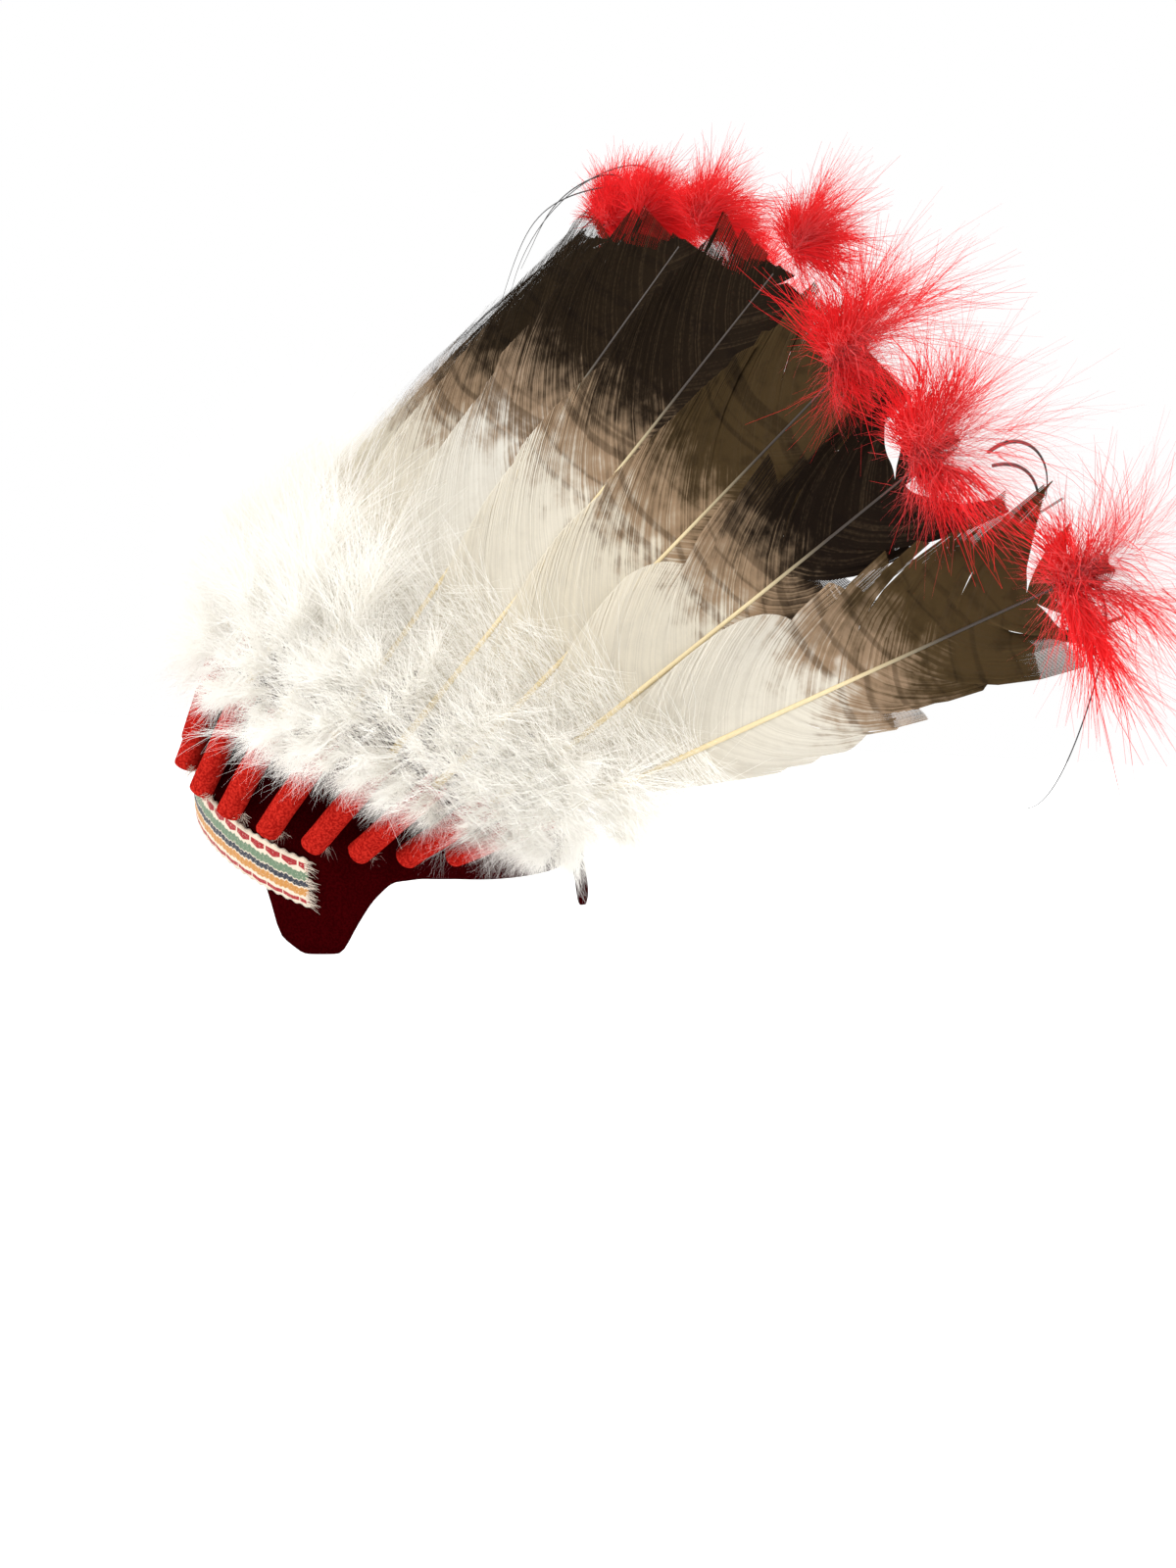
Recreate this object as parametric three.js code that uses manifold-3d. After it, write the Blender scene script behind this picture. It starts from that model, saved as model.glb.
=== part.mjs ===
// Feathered headdress: a felt cap with ear tabs, a woven brow band, and a fan of seventeen long
// feathers. Each quill stands in a rolled felt sheath sewn to the cap, each tip carries a dyed
// plume, and white down lies over the feathers' feet.
//
// Millimetres. The face looks along -Y, the wearer's left is +X and the crown is +Z. The origin
// is the middle of the head opening. Feathers are counted round the cap from the wearer's right
// ear (first) over the forehead (middle) to the left ear (last).
import * as THREE from 'three';
import { mergeVertices } from 'three/addons/utils/BufferGeometryUtils.js';
import Module from 'manifold-3d';

const wasm = await Module();
wasm.setup();

// Felt cap
const CAP_HALF_WIDTH = 79;
const CAP_HALF_DEPTH = 99;
const CAP_CROWN = 118;
const CAP_ROUNDNESS = 2.2;
const CAP_LEVELS = [26, 50, 72, 91, 106, 115];
const FELT_THICKNESS = 2.5;
// The rim from the forehead to the nape: degrees round from the front, and height. The low
// stretch is the ear tab.
const RIM = [
  [0, 10.5], [16, 9.5], [32, 6], [48, 0], [60, -5], [63.5, -34], [71.5, -42], [83.5, -38.5],
  [88, -22], [92.5, -8], [98, 2.5], [106, 4], [116, 2], [128, -2], [141, -6], [154, -10],
  [167, -13],
];
const NAPE_HEIGHT = -14;

// Brow band
const BAND_HEIGHT = 26;
const BAND_THICKNESS = 1.4;
const BAND_STANDOFF = 0.9;
const BAND_END_ANGLE = 75;
const BAND_STEPS = 18;
const BAND_TOP_FRONT = 34;
const BAND_TOP_END = 12.5;

// Nape tie
const TIE_WIDTH = 16;
const TIE_LENGTH = 46;
const TIE_ANGLE = 168;
const TIE_TOP = 6;
const TIE_STANDOFF = 0.6;
const TIE_LEAN = THREE.MathUtils.degToRad(-10);

// Feathers: one row for each from the middle of the forehead to the ear, the same on both sides.
// angle: place round the cap, in degrees from the front. tip: where the feather ends.
const FEATHERS = [
  { angle: 0, tip: [0, 94, 286] },
  { angle: 20, tip: [22, 95, 286] },
  { angle: 37, tip: [44, 99, 287] },
  { angle: 51, tip: [68, 110, 288] },
  { angle: 65, tip: [92, 131, 287] },
  { angle: 78, tip: [122, 163, 280] },
  { angle: 90, tip: [158, 190, 259] },
  { angle: 102, tip: [200, 211, 236] },
  { angle: 114.5, tip: [240, 249, 209] },
];
const PER_SIDE = FEATHERS.length - 1;
const FOOT_HEIGHT_SIDE = 18;
const FOOT_HEIGHT_FRONT = 38;
const BEND_REACH = 45;
const QUILL_START = 4;
const QUILL_HALF_WIDTH = 2.3;
const RACHIS_HALF_HEIGHT = 2.3;
const VANE_EDGE_HALF_THICKNESS = 0.5;
const VANE_START = 0.24;
const VANE_STATIONS = [0.24, 0.33, 0.44, 0.58, 0.74, 0.88, 0.96, 1];
const OVER_WIDTH = 37;
const UNDER_WIDTH = 26;
const OVER_RISE = THREE.MathUtils.degToRad(6);
const UNDER_DIP = THREE.MathUtils.degToRad(18);

// Sheaths
const SHEATH_LENGTH = 62;
const SHEATH_RADIUS = 6;
const SHEATH_BORE_RADIUS = 3.1;
const SHEATH_SIDES = 8;
const SHEATH_STANDOFF = 1.9;

// Locks of fibres
const PLUME_LOCK_SIDES = 4;
const DOWN_LOCK_SIDES = 6;

// Tip plumes
const PLUME_CORE_RADIUS = 5;
const PLUME_GAP = 0.6;
const WIDE_SPACING = 95;
const WIDE_PLUME_SHARE = 0.97;

const COLOURS = {
  cap: 0x2b0206, band: 0xd8cfc0, sheath: 0xb81c1c, feather: 0xe9e2d2, plume: 0xe01722, down: 0xf2f2f0,
};

function material(colour, roughness) {
  return new THREE.MeshStandardMaterial({ color: COLOURS[colour], roughness, metalness: 0 });
}

const feltMaterial = material('cap', 0.95);
const bandMaterial = material('band', 0.85);
const sheathMaterial = material('sheath', 0.95);
const featherMaterial = material('feather', 0.6);
const plumeMaterial = material('plume', 0.9);
const downMaterial = material('down', 0.95);

// ---- geometry helpers ----

// A closed skin over rings of equal count, with a flat fan over each end. In a thin twisted piece
// the far half of each ring is split the other way, so that the two faces stay parallel.
function loft(rings, twisted = false) {
  const count = rings[0].length;
  const positions = rings.flat().flatMap((point) => [point.x, point.y, point.z]);
  const index = [];
  for (let ring = 0; ring + 1 < rings.length; ring += 1) {
    for (let i = 0; i < count; i += 1) {
      const a = ring * count + i;
      const b = ring * count + ((i + 1) % count);
      if (twisted && i >= count / 2) {
        index.push(a, b, a + count, b, b + count, a + count);
      } else {
        index.push(a, b, b + count, a, b + count, a + count);
      }
    }
  }
  const last = (rings.length - 1) * count;
  for (let i = 1; i + 1 < count; i += 1) {
    index.push(0, i + 1, i);
    index.push(last, last + i, last + i + 1);
  }
  const geometry = new THREE.BufferGeometry();
  geometry.setAttribute('position', new THREE.Float32BufferAttribute(positions, 3));
  geometry.setIndex(index);
  return faceOutward(geometry);
}

function signedVolume(geometry) {
  const position = geometry.getAttribute('position');
  const index = geometry.getIndex();
  const corners = [new THREE.Vector3(), new THREE.Vector3(), new THREE.Vector3()];
  let total = 0;
  for (let i = 0; i < index.count; i += 3) {
    corners.forEach((corner, k) => corner.fromBufferAttribute(position, index.getX(i + k)));
    total += corners[0].dot(corners[1].cross(corners[2]));
  }
  return total;
}

function faceOutward(geometry) {
  if (signedVolume(geometry) < 0) {
    const index = geometry.getIndex();
    for (let i = 0; i < index.count; i += 3) {
      const first = index.getX(i);
      index.setX(i, index.getX(i + 1));
      index.setX(i + 1, first);
    }
  }
  return geometry;
}

function toManifold(geometry) {
  const bare = geometry.clone();
  bare.deleteAttribute('normal');
  bare.deleteAttribute('uv');
  const merged = mergeVertices(bare, 1e-4);
  return new wasm.Manifold(new wasm.Mesh({
    numProp: 3,
    vertProperties: new Float32Array(merged.getAttribute('position').array),
    triVerts: new Uint32Array(merged.getIndex().array),
  }));
}

function fromManifold(manifold) {
  const mesh = manifold.getMesh();
  const geometry = new THREE.BufferGeometry();
  geometry.setAttribute('position', new THREE.Float32BufferAttribute(mesh.vertProperties, 3));
  geometry.setIndex(Array.from(mesh.triVerts));
  return geometry;
}

function fuse(geometries) {
  return fromManifold(geometries.map(toManifold).reduce((whole, next) => whole.add(next)));
}

// A lock of fibres: a slim closed spindle from one point to another, widest near its root.
function lock(from, to, radius, sides) {
  const along = new THREE.Vector3().subVectors(to, from);
  const length = along.length();
  const profile = [[0, 0], [radius, length * 0.38], [0, length]];
  const points = profile.map(([r, y]) => new THREE.Vector2(r, y));
  const geometry = new THREE.LatheGeometry(points, sides);
  const turn = new THREE.Quaternion().setFromUnitVectors(new THREE.Vector3(0, 1, 0), along.normalize());
  geometry.applyQuaternion(turn);
  geometry.translate(from.x, from.y, from.z);
  return geometry;
}

const group = new THREE.Group();

function addPiece(name, geometry, pieceMaterial) {
  const mesh = new THREE.Mesh(geometry, pieceMaterial);
  mesh.name = name;
  group.add(mesh);
}

// ---- cap ----

function domeScale(height, crown) {
  if (height <= 0) return 1;
  return (1 - Math.min(1, height / crown) ** CAP_ROUNDNESS) ** (1 / CAP_ROUNDNESS);
}

// A point on the cap's wall, or on a skin outside it (offset above 0) or inside it (below 0).
function capPoint(degrees, height, offset = 0) {
  const angle = THREE.MathUtils.degToRad(degrees);
  const scale = domeScale(height, CAP_CROWN + offset);
  const x = (CAP_HALF_WIDTH + offset) * scale * Math.sin(angle);
  const y = -(CAP_HALF_DEPTH + offset) * scale * Math.cos(angle);
  return new THREE.Vector3(x, y, height);
}

// The cap's wall leans only a little near the rim, so outward is taken level.
function capOutward(degrees) {
  const angle = THREE.MathUtils.degToRad(degrees);
  return new THREE.Vector3(
    Math.sin(angle) / CAP_HALF_WIDTH,
    -Math.cos(angle) / CAP_HALF_DEPTH,
    0,
  ).normalize();
}

function rimAllRound() {
  const leftSide = RIM.slice(1);
  const rightSide = leftSide.map(([angle, height]) => [-angle, height]).reverse();
  return [...rightSide, RIM[0], ...leftSide, [180, NAPE_HEIGHT]];
}

function domeSolid(offset, rimHeight) {
  const rim = rimAllRound();
  const rings = [rim.map(([angle, height]) => capPoint(angle, rimHeight(height), offset))];
  for (const level of CAP_LEVELS) {
    rings.push(rim.map(([angle]) => capPoint(angle, level + (offset < 0 ? offset * level / CAP_CROWN : 0), offset)));
  }
  return loft(rings);
}

function capGeometry() {
  const outside = toManifold(domeSolid(0, (height) => height));
  const inside = toManifold(domeSolid(-FELT_THICKNESS, () => -70));
  return fromManifold(outside.subtract(inside));
}

// ---- brow band ----

function bandTop(degrees) {
  const end = Math.cos(THREE.MathUtils.degToRad(BAND_END_ANGLE));
  const share = (Math.cos(THREE.MathUtils.degToRad(degrees)) - end) / (1 - end);
  return BAND_TOP_END + (BAND_TOP_FRONT - BAND_TOP_END) * Math.max(0, share) ** 1.1;
}

function bandGeometry() {
  const rings = [];
  for (let step = 0; step <= BAND_STEPS; step += 1) {
    const degrees = THREE.MathUtils.lerp(-BAND_END_ANGLE, BAND_END_ANGLE, step / BAND_STEPS);
    const top = bandTop(degrees);
    const foot = top - BAND_HEIGHT;
    rings.push([
      capPoint(degrees, foot, BAND_STANDOFF),
      capPoint(degrees, foot, BAND_STANDOFF + BAND_THICKNESS),
      capPoint(degrees, top, BAND_STANDOFF + BAND_THICKNESS),
      capPoint(degrees, top, BAND_STANDOFF),
    ]);
  }
  return loft(rings);
}

// ---- nape tie: a short strap of felt with a round end ----

function tieGeometry() {
  const half = TIE_WIDTH / 2;
  const shape = new THREE.Shape();
  shape.moveTo(-half, 0);
  shape.lineTo(-half, half - TIE_LENGTH);
  shape.absarc(0, half - TIE_LENGTH, half, Math.PI, Math.PI * 2, false);
  shape.lineTo(half, 0);
  shape.closePath();
  const options = { depth: FELT_THICKNESS, bevelEnabled: false, curveSegments: 8 };
  const geometry = new THREE.ExtrudeGeometry(shape, options);
  geometry.rotateX(Math.PI / 2 + TIE_LEAN);
  geometry.rotateZ(THREE.MathUtils.degToRad(TIE_ANGLE));
  const top = capPoint(TIE_ANGLE, TIE_TOP, TIE_STANDOFF);
  geometry.translate(top.x, top.y, top.z);
  return geometry;
}

// ---- feathers ----

// The run of one feather: its foot at the sheath's lower end, the straight sheath, then a bend
// back to the tip.
function featherRun(order) {
  const side = Math.sign(order);
  const row = FEATHERS[Math.abs(order)];
  const share = Math.abs(order) / PER_SIDE;
  const angle = THREE.MathUtils.degToRad(row.angle);
  const rise = ((1 + Math.cos(angle)) / 2) ** 2.5;
  const height = THREE.MathUtils.lerp(FOOT_HEIGHT_SIDE, FOOT_HEIGHT_FRONT, rise);
  const degrees = side * row.angle;
  const foot = capPoint(degrees, height);
  foot.addScaledVector(capOutward(degrees), SHEATH_RADIUS + SHEATH_STANDOFF);
  const leanOut = 0.4 * share ** 1.2;
  const leanBack = 0.35 + 0.37 * share;
  const leanUp = Math.sqrt(1 - leanOut ** 2 - leanBack ** 2);
  const direction = new THREE.Vector3(side * leanOut, leanBack, leanUp);
  const sheathTop = foot.clone().addScaledVector(direction, SHEATH_LENGTH);
  const control = sheathTop.clone().addScaledVector(direction, BEND_REACH);
  const tip = new THREE.Vector3(side * row.tip[0], row.tip[1], row.tip[2]);
  return { foot, direction, sheathTop, tip, bend: new THREE.QuadraticBezierCurve3(sheathTop, control, tip) };
}

const runs = new Map();
for (let order = -PER_SIDE; order <= PER_SIDE; order += 1) {
  runs.set(order, featherRun(order));
}

function clampOrder(order) {
  return THREE.MathUtils.clamp(order, -PER_SIDE, PER_SIDE);
}

// Where a feather's middle line is: share 0 is the top of its sheath and share 1 its tip.
function runPoint(order, share) {
  const run = runs.get(order);
  if (share < 0) return run.sheathTop.clone().addScaledVector(run.direction, share * SHEATH_LENGTH);
  return run.bend.getPoint(share);
}

function runTangent(order, share) {
  const run = runs.get(order);
  return share <= 0 ? run.direction.clone() : run.bend.getTangent(share);
}

// Along the quill, across towards the next feather, and outward from the fan.
function runFrame(order, share) {
  const along = runTangent(order, share);
  const here = Math.max(0, share);
  const across = runPoint(clampOrder(order + 1), here).sub(runPoint(clampOrder(order - 1), here));
  across.addScaledVector(along, -across.dot(along)).normalize();
  const out = new THREE.Vector3().crossVectors(across, along);
  return { along, across, out };
}

// The vane's half width as a share of its full half width: it swells from the quill, runs nearly
// straight, and rounds off at the tip.
function vaneSwell(share) {
  const run = (share - VANE_START) / (1 - VANE_START);
  const swell = Math.sin((Math.PI / 2) * Math.min(1, run / 0.62)) ** 0.85;
  const end = run > 0.8 ? Math.sqrt(Math.max(0, 1 - ((run - 0.8) / 0.205) ** 2.6)) : 1;
  return swell * end;
}

// One section of a feather. The wing over the feather before rises a little and the wing under
// the feather after dips, so neighbours lie like the blades of a louvre and never meet.
function featherRing(order, share) {
  const { across, out } = runFrame(order, share);
  const taper = THREE.MathUtils.clamp(1 - 0.68 * share, 0.3, 1);
  const vane = share > VANE_START ? vaneSwell(share) : 0;
  const quill = QUILL_HALF_WIDTH * taper;
  const over = Math.max(quill, OVER_WIDTH * vane);
  const under = Math.max(quill, UNDER_WIDTH * vane);
  const edge = share > VANE_START ? VANE_EDGE_HALF_THICKNESS : quill * 0.42;
  const ridge = RACHIS_HALF_HEIGHT * taper;
  const shoulder = quill * 0.42;
  const rise = share > VANE_START ? over * Math.sin(OVER_RISE) : 0;
  const dip = share > VANE_START ? under * Math.sin(UNDER_DIP) : 0;
  const outline = [
    [-over, rise + edge], [-shoulder, ridge], [shoulder, ridge], [under, edge - dip],
    [under, -edge - dip], [shoulder, -ridge], [-shoulder, -ridge], [-over, rise - edge],
  ];
  const centre = runPoint(order, share);
  return outline.map(([x, y]) => centre.clone().addScaledVector(across, x).addScaledVector(out, y));
}

function featherGeometry(order) {
  const quillFoot = QUILL_START / SHEATH_LENGTH - 1;
  const shares = [quillFoot, 0, VANE_START / 2, ...VANE_STATIONS];
  return loft(shares.map((share) => featherRing(order, share)), true);
}

// ---- sheaths: felt rolled round the quill, open at both ends ----

function sheathGeometry(order) {
  const { foot, direction } = runs.get(order);
  const profile = [
    [SHEATH_BORE_RADIUS, 0], [SHEATH_RADIUS, 0], [SHEATH_RADIUS, SHEATH_LENGTH],
    [SHEATH_BORE_RADIUS, SHEATH_LENGTH], [SHEATH_BORE_RADIUS, 0],
  ];
  const points = profile.map(([r, y]) => new THREE.Vector2(r, y));
  const geometry = new THREE.LatheGeometry(points, SHEATH_SIDES);
  const turn = new THREE.Quaternion().setFromUnitVectors(new THREE.Vector3(0, 1, 0), direction);
  geometry.applyQuaternion(turn);
  geometry.translate(foot.x, foot.y, foot.z);
  return geometry;
}

// ---- tip plumes ----

// The locks of a plume: across, along and outward share of each, and its length. Where feathers
// stand close, the plume is narrow and starts past the tip. Where they stand apart, it lies on
// the outer face of the tip and spreads towards the next feather.
const NARROW_LOCKS = [
  [0, 0.95, 0.1, 27], [0.1, 0.85, -0.5, 28], [-0.1, 0.75, 0.5, 20], [0.1, 0.4, -0.9, 26],
  [-0.2, 0.65, -0.7, 25],
];
const WIDE_LOCKS = [
  [0.1, 1, 0.25, 44], [0.5, 0.85, 0.2, 46], [0.85, 0.5, 0.25, 38], [-0.35, 0.9, 0.4, 38],
  [0.95, 0.05, 0.35, 26], [0.45, 0.55, 0.75, 27], [-0.6, 0.5, 0.65, 24],
];

function plumeGeometry(order) {
  const spacing = runPoint(clampOrder(order + 1), 1).distanceTo(runPoint(clampOrder(order - 1), 1));
  const wide = Math.abs(order) === PER_SIDE || spacing > WIDE_SPACING;
  const share = wide ? WIDE_PLUME_SHARE : 1;
  const { along, across, out } = runFrame(order, share);
  const core = runPoint(order, share);
  const clearance = PLUME_CORE_RADIUS + PLUME_GAP;
  core.addScaledVector(wide ? out : along, wide ? clearance + RACHIS_HALF_HEIGHT * 0.4 : clearance);
  const ball = new THREE.OctahedronGeometry(PLUME_CORE_RADIUS, 0);
  ball.translate(core.x, core.y, core.z);
  const locks = (wide ? WIDE_LOCKS : NARROW_LOCKS).map(([x, y, z, length]) => {
    const end = core.clone();
    end.addScaledVector(across, x * length);
    end.addScaledVector(along, y * length);
    end.addScaledVector(out, z * length);
    return lock(core, end, wide ? 8 : 7, PLUME_LOCK_SIDES);
  });
  return fuse([ball, ...locks]);
}

// ---- white down over the feathers' feet ----

// The fan's skin between the feathers: order may lie between two of them.
function fanPoint(order, share) {
  const lower = clampOrder(Math.floor(order));
  const upper = clampOrder(lower + 1);
  if (upper === lower) {
    const beyond = runFrame(lower, share).across;
    return runPoint(lower, share).addScaledVector(beyond, (order - lower) * 20);
  }
  return runPoint(lower, share).lerp(runPoint(upper, share), order - lower);
}

function fanOut(order, share) {
  const across = fanPoint(order + 0.5, share).sub(fanPoint(order - 0.5, share));
  const along = fanPoint(order, share + 0.02).sub(fanPoint(order, share - 0.02));
  return new THREE.Vector3().crossVectors(across, along).normalize();
}

function fanOffset(order, share, height) {
  return fanPoint(order, share).addScaledVector(fanOut(order, share), height);
}

function downFloor(share) {
  return DOWN_FLOOR + 14 * Math.max(0, share) ** 1.2;
}

// Each row of locks: where it roots on the body, how far its ends sweep along the feathers, and
// how high they stand.
const DOWN_ROWS = [
  { root: 0.1, sweep: -0.24, stand: 0.3 },
  { root: 0.3, sweep: -0.04, stand: 0.9 },
  { root: 0.55, sweep: 0.12, stand: 1 },
  { root: 0.8, sweep: 0.24, stand: 0.5 },
];

const DOWN = {
  down_right_back: { from: -8.7, to: -5.1, low: -0.05, high: 0.34, swell: 12, reach: 13 },
  down_right: { from: -4.9, to: -1.8, low: -0.05, high: 0.4, swell: 14, reach: 15 },
  down_front: { from: -1.6, to: 1.6, low: -0.02, high: 0.42, swell: 18, reach: 16 },
  down_left: { from: 1.8, to: 4.9, low: -0.05, high: 0.4, swell: 14, reach: 15 },
  down_left_back: { from: 5.1, to: 8.7, low: -0.05, high: 0.34, swell: 12, reach: 13 },
};
const DOWN_STEPS = 5;
const DOWN_ROWS_OF_BODY = [0, 0.33, 0.67, 1];
const DOWN_FLOOR = 9.6;
const DOWN_LOCK_RADIUS = 9;
const DOWN_LOCK_ROOT = 4;

function downBody({ from, to, low, high, swell }) {
  const shares = DOWN_ROWS_OF_BODY.map((part) => THREE.MathUtils.lerp(low, high, part));
  const rings = [];
  for (let step = 0; step <= DOWN_STEPS; step += 1) {
    const part = step / DOWN_STEPS;
    const order = THREE.MathUtils.lerp(from, to, part);
    const endwise = Math.sin(Math.PI * (0.12 + 0.76 * part));
    const inner = shares.map((share) => fanOffset(order, share, downFloor(share)));
    const outer = shares.map((share, i) => {
      const bulge = endwise * Math.sin(Math.PI * (0.14 + 0.72 * DOWN_ROWS_OF_BODY[i]));
      return fanOffset(order, share, downFloor(share) + 3 + swell * bulge);
    });
    rings.push([...inner, ...outer.reverse()]);
  }
  return loft(rings);
}

function downLocks({ from, to, low, high, swell, reach }) {
  const count = Math.round((to - from) * 1.35);
  return DOWN_ROWS.flatMap((row, rowNumber) => {
    const stagger = rowNumber % 2 === 0 ? 0.3 : 0.7;
    return Array.from({ length: count }, (_, i) => {
      const order = THREE.MathUtils.lerp(from, to, (i + stagger) / count);
      const root = THREE.MathUtils.lerp(low, high, row.root);
      const end = root + row.sweep;
      const base = fanOffset(order, root, downFloor(root) + DOWN_LOCK_ROOT);
      const point = fanOffset(order, end, downFloor(end) + swell * 0.6 + reach * row.stand);
      return lock(base, point, DOWN_LOCK_RADIUS, DOWN_LOCK_SIDES);
    });
  });
}

function downGeometry(place) {
  return fuse([downBody(place), ...downLocks(place)]);
}

// ---- assembly ----

addPiece('felt_cap', capGeometry(), feltMaterial);
addPiece('brow_band', bandGeometry(), bandMaterial);
addPiece('nape_tie', tieGeometry(), feltMaterial);
for (let order = -PER_SIDE; order <= PER_SIDE; order += 1) {
  const number = String(order + PER_SIDE + 1).padStart(2, '0');
  addPiece(`sheath_${number}`, sheathGeometry(order), sheathMaterial);
  addPiece(`feather_${number}`, featherGeometry(order), featherMaterial);
  addPiece(`plume_${number}`, plumeGeometry(order), plumeMaterial);
}
for (const [name, place] of Object.entries(DOWN)) {
  addPiece(name, downGeometry(place), downMaterial);
}

export default group;
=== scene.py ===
import math

import bpy
import numpy as np
from mathutils import Matrix, Vector


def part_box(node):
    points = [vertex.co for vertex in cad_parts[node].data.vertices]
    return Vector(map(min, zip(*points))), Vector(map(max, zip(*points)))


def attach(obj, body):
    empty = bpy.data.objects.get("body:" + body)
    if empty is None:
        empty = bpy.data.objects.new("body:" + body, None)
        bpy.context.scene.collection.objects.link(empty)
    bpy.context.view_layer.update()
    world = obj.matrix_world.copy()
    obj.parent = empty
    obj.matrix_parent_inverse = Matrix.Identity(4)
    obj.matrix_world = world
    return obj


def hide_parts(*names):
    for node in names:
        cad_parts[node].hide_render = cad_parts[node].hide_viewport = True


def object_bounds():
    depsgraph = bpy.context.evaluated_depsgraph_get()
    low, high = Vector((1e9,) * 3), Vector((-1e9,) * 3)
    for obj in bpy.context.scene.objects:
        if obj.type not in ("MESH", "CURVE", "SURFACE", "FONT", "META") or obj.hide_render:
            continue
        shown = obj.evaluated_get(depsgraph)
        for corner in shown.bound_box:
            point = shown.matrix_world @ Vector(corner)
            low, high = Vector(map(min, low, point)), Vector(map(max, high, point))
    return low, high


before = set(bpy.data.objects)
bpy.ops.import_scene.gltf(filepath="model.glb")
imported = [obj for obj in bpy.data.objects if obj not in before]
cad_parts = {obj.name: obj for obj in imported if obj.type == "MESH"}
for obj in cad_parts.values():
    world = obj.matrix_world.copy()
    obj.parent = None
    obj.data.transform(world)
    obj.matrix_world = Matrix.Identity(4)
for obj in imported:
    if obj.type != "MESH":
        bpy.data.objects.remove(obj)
cad_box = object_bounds()

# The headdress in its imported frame, in metres: the face looks along -Y, the wearer's left is +X,
# the crown is +Z, and the origin is the middle of the head opening. Sizes repeat the part's own.
MM = 0.001

CAP_HALF_WIDTH = 79 * MM
CAP_HALF_DEPTH = 99 * MM
CAP_CROWN = 118 * MM
CAP_ROUNDNESS = 2.2
FELT_THICKNESS = 2.5 * MM
RIM_ANGLES = [0, 16, 32, 48, 60, 63.5, 71.5, 83.5, 88, 92.5, 98, 106, 116, 128, 141, 154, 167, 180]
RIM_HEIGHTS = [10.5, 9.5, 6, 0, -5, -34, -42, -38.5, -22, -8, 2.5, 4, 2, -2, -6, -10, -13, -14]

BAND_HEIGHT = 26 * MM
BAND_THICKNESS = 1.4 * MM
BAND_STANDOFF = 0.9 * MM
BAND_END_ANGLE = 75
BAND_TOP_FRONT = 34 * MM
BAND_TOP_END = 12.5 * MM

FEATHER_ANGLES = [0, 20, 37, 51, 65, 78, 90, 102, 114.5]
FEATHER_TIPS = [
    (0, 94, 286), (22, 95, 286), (44, 99, 287), (68, 110, 288), (92, 131, 287),
    (122, 163, 280), (158, 190, 259), (200, 211, 236), (240, 249, 209),
]
PER_SIDE = len(FEATHER_TIPS) - 1
ORDERS = range(-PER_SIDE, PER_SIDE + 1)
FOOT_HEIGHT_SIDE = 18 * MM
FOOT_HEIGHT_FRONT = 38 * MM
BEND_REACH = 45 * MM
QUILL_START = 4 * MM
QUILL_HALF_WIDTH = 2.3 * MM
VANE_START = 0.24
OVER_WIDTH = 37 * MM
UNDER_WIDTH = 26 * MM
OVER_RISE = math.radians(6)
UNDER_DIP = math.radians(18)

SHEATH_LENGTH = 62 * MM
SHEATH_RADIUS = 6 * MM
SHEATH_BORE_RADIUS = 3.1 * MM
SHEATH_STANDOFF = 1.9 * MM

PLUME_CORE_RADIUS = 5 * MM
PLUME_GAP = 0.6 * MM
WIDE_SPACING = 95 * MM
WIDE_PLUME_SHARE = 0.97
MARGIN = 15 * MM

DOWN_FLOOR = 9.6 * MM

# Colours, as linear values.
MAROON = (0.020, 0.0002, 0.0006)
# A lighter copy of the maroon felt for its fuzz: painted sheen where the fibres catch the light.
MAROON_FUZZ_SHEEN = (0.036, 0.0006, 0.0012)
FELT_RED = (0.27, 0.007, 0.005)
# A lighter copy of the red felt for its fuzz: painted sheen where the fibres catch the light.
FELT_RED_FUZZ_SHEEN = (0.55, 0.026, 0.016)
CREAM = (0.80, 0.775, 0.71)
IVORY = (0.74, 0.68, 0.55)
VANE_TAN = (0.29, 0.17, 0.08)
VANE_BLACK = (0.009, 0.0055, 0.004)
VANE_OLIVE = (0.070, 0.044, 0.018)
VANE_STREAK = (0.58, 0.54, 0.46)
VANE_GRAIN = (0.075, 0.050, 0.028)
VANE_BAR = (0.07, 0.042, 0.022)
QUILL_CREAM = (0.72, 0.60, 0.36)
QUILL_STREAK = (0.50, 0.38, 0.19)
QUILL_DARK = (0.030, 0.020, 0.014)
DOWN_WHITE = (0.97, 0.96, 0.93)
DOWN_SHADE = (0.84, 0.81, 0.75)
DOWN_GLOW = (0.98, 0.97, 0.94)
PLUME_RED = (0.88, 0.012, 0.018)
PLUME_SHADE = (0.42, 0.004, 0.008)
PLUME_GLOW = (0.95, 0.03, 0.03)
THREAD_CREAM = (0.76, 0.66, 0.55)
THREAD_SHADE = (0.45, 0.36, 0.28)
HAIR_BLACK = (0.010, 0.008, 0.007)
BRAID_CREAM = (0.70, 0.60, 0.47)
BRAID_RED = (0.33, 0.010, 0.014)
BRAID_GREEN = (0.13, 0.20, 0.12)
BRAID_NAVY = (0.022, 0.026, 0.040)
BRAID_OCHRE = (0.50, 0.22, 0.045)
FLOOR_WHITE = (0.98, 0.98, 0.98)


# ---------------------------------------------------------------- vectors and runs

def unit(vector):
    return vector / np.linalg.norm(vector, axis=-1, keepdims=True)


def mix(low, high, share):
    return low + (high - low) * share


def dome_scale(height, crown):
    share = np.clip(height / crown, 0, 1)
    return (1 - share ** CAP_ROUNDNESS) ** (1 / CAP_ROUNDNESS)


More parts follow.
